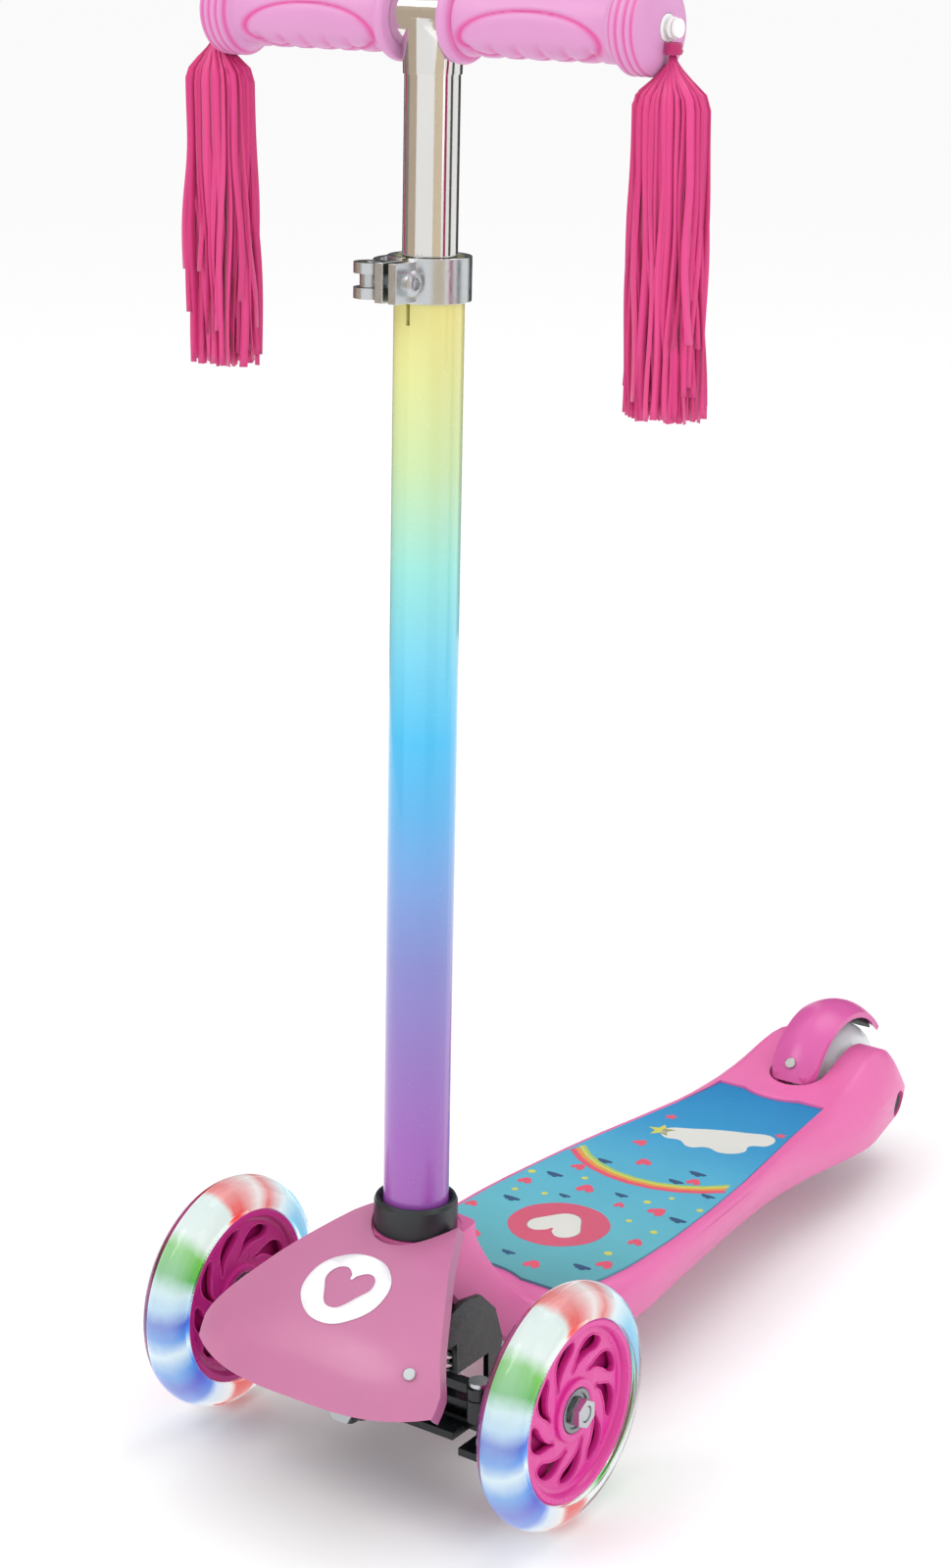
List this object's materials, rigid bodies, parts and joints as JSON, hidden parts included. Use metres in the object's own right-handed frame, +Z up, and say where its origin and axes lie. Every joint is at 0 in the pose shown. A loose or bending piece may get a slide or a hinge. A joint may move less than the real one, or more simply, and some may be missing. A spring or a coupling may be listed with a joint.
{
  "type": "kick scooter",
  "caption": "Child's lean-to-steer kick scooter with light-up front wheels, a foot brake, a height-set handlebar and streamers.",
  "frame": {"origin": "on the ground, midway between the cover's nose and the back of the rear wheel, on the middle plane", "axes": "-Y is the direction of travel, +X is the rider's left, +Z is up"},
  "size_m": [0.284, 0.5615, 0.7095],
  "materials": {
    "deck_pink": "moulded polypropylene, satin",
    "cover_pink": "moulded polypropylene, satin",
    "mat": "printed foam rubber",
    "black_nylon": "glass-filled nylon",
    "steel": "zinc plated",
    "spring_steel": "drawn wire",
    "bearing_steel": "ground steel",
    "chrome": "polished chrome plate",
    "clamp_alloy": "bright pressed alloy",
    "tube_paint": "gloss paint fading from yellow through blue to violet",
    "hub_pink": "moulded nylon",
    "clear_tyre": "clear cast polyurethane",
    "lamps": "clear lamps",
    "grip_pink": "soft thermoplastic rubber",
    "plug_white": "moulded plastic",
    "streamer_ribbon": "ribbon"
  },
  "bodies": {
    "deck": {"deck": "deck_pink", "grip_mat": "mat", "front_cover": "cover_pink", "cover_screw": "steel", "collar": "black_nylon", "steering_housing": "black_nylon", "housing_screws": "steel", "pivot_bolt": "steel", "pivot_nut": "steel", "drive_pin": "steel", "return_springs": "spring_steel", "rear_axle": "steel", "rear_axle_nut": "steel", "rear_spacers": "steel", "brake_pin": "steel", "brake_spring": "spring_steel", "lower_tube": "tube_paint", "tube_screw": "steel", "tube_bush": "black_nylon", "clamp_band": "clamp_alloy", "clamp_bolt": "chrome", "clamp_pin": "steel"},
    "beam": {"axle_beam": "black_nylon", "kingpins": "steel"},
    "tie_rod": {"tie_rod": "steel"},
    "knuckle_left": {"knuckle_left": "black_nylon", "tie_pin_left": "steel", "front_axle_left": "steel", "axle_nut_left": "steel", "spacer_left": "steel"},
    "knuckle_right": {"knuckle_right": "black_nylon", "tie_pin_right": "steel", "front_axle_right": "steel", "axle_nut_right": "steel", "spacer_right": "steel"},
    "wheel_left": {"tyre_left": "clear_tyre", "hub_left": "hub_pink", "light_ring_left": "lamps", "bearings_left": "bearing_steel"},
    "wheel_right": {"tyre_right": "clear_tyre", "hub_right": "hub_pink", "light_ring_right": "lamps", "bearings_right": "bearing_steel"},
    "wheel_rear": {"rear_tyre": "clear_tyre", "rear_hub": "hub_pink", "rear_bearings": "bearing_steel"},
    "brake": {"brake_fender": "deck_pink", "brake_pad": "steel", "brake_screw": "steel"},
    "handlebar": {"upper_tube": "chrome", "tube_foot": "black_nylon", "tee_lug": "chrome", "cross_tube": "chrome", "grip_left": "grip_pink", "grip_right": "grip_pink", "bar_plug_left": "plug_white", "bar_plug_right": "plug_white"},
    "clamp_lever": {"clamp_lever": "clamp_alloy"},
    "streamer_left": {"streamer_left": "streamer_ribbon"},
    "streamer_right": {"streamer_right": "streamer_ribbon"}
  },
  "joints": [
    {"name": "lean", "type": "hinge", "parent": "deck", "child": "beam", "pos_m": [0, -0.20425, 0.044], "axis": [0, 1, 0], "range_deg": [-10, 10], "stiffness_Nm_per_rad": 30, "deforming": ["return_springs"]},
    {"name": "tie_slide", "type": "slide", "parent": "beam", "child": "tie_rod", "axis": [1, 0, 0], "range_m": [-0.0043, 0.0043]},
    {"name": "steer_left", "type": "hinge", "parent": "beam", "child": "knuckle_left", "pos_m": [0.068, -0.20425, 0.06], "axis": [0, 0, 1], "range_deg": [-12, 12]},
    {"name": "steer_right", "type": "hinge", "parent": "beam", "child": "knuckle_right", "pos_m": [-0.068, -0.20425, 0.06], "axis": [0, 0, 1], "range_deg": [-12, 12]},
    {"name": "spin_left", "type": "hinge", "parent": "knuckle_left", "child": "wheel_left", "pos_m": [0.101, -0.20425, 0.06], "axis": [1, 0, 0], "continuous": true},
    {"name": "spin_right", "type": "hinge", "parent": "knuckle_right", "child": "wheel_right", "pos_m": [-0.101, -0.20425, 0.06], "axis": [1, 0, 0], "continuous": true},
    {"name": "spin_rear", "type": "hinge", "parent": "deck", "child": "wheel_rear", "pos_m": [0, 0.24075, 0.04], "axis": [1, 0, 0], "continuous": true},
    {"name": "brake_press", "type": "hinge", "parent": "deck", "child": "brake", "pos_m": [0, 0.18975, 0.054], "axis": [-1, 0, 0], "range_deg": [0, 2], "stiffness_Nm_per_rad": 2, "springref_deg": -5.73, "deforming": ["brake_spring"]},
    {"name": "mast_slide", "type": "slide", "parent": "deck", "child": "handlebar", "axis": [0, 0.0323, 0.9995], "range_m": [-0.075, 0.05]},
    {"name": "clamp_open", "type": "hinge", "parent": "deck", "child": "clamp_lever", "pos_m": [-0.014, -0.19233, 0.57681], "axis": [0, 0.0323, 0.9995], "range_deg": [0, 150]},
    {"name": "swing_left", "type": "hinge", "parent": "handlebar", "child": "streamer_left", "pos_m": [0.121, -0.1637, 0.689], "axis": [1, 0, 0], "range_deg": [-80, 80]},
    {"name": "swing_right", "type": "hinge", "parent": "handlebar", "child": "streamer_right", "pos_m": [-0.121, -0.1637, 0.689], "axis": [1, 0, 0], "range_deg": [-80, 80]}
  ],
  "couplings": [
    {"joint": "steer_left", "follows": "lean", "ratio": -1.2},
    {"joint": "steer_right", "follows": "lean", "ratio": -1.2},
    {"joint": "tie_slide", "follows": "lean", "m_per_rad": -0.024}
  ]
}
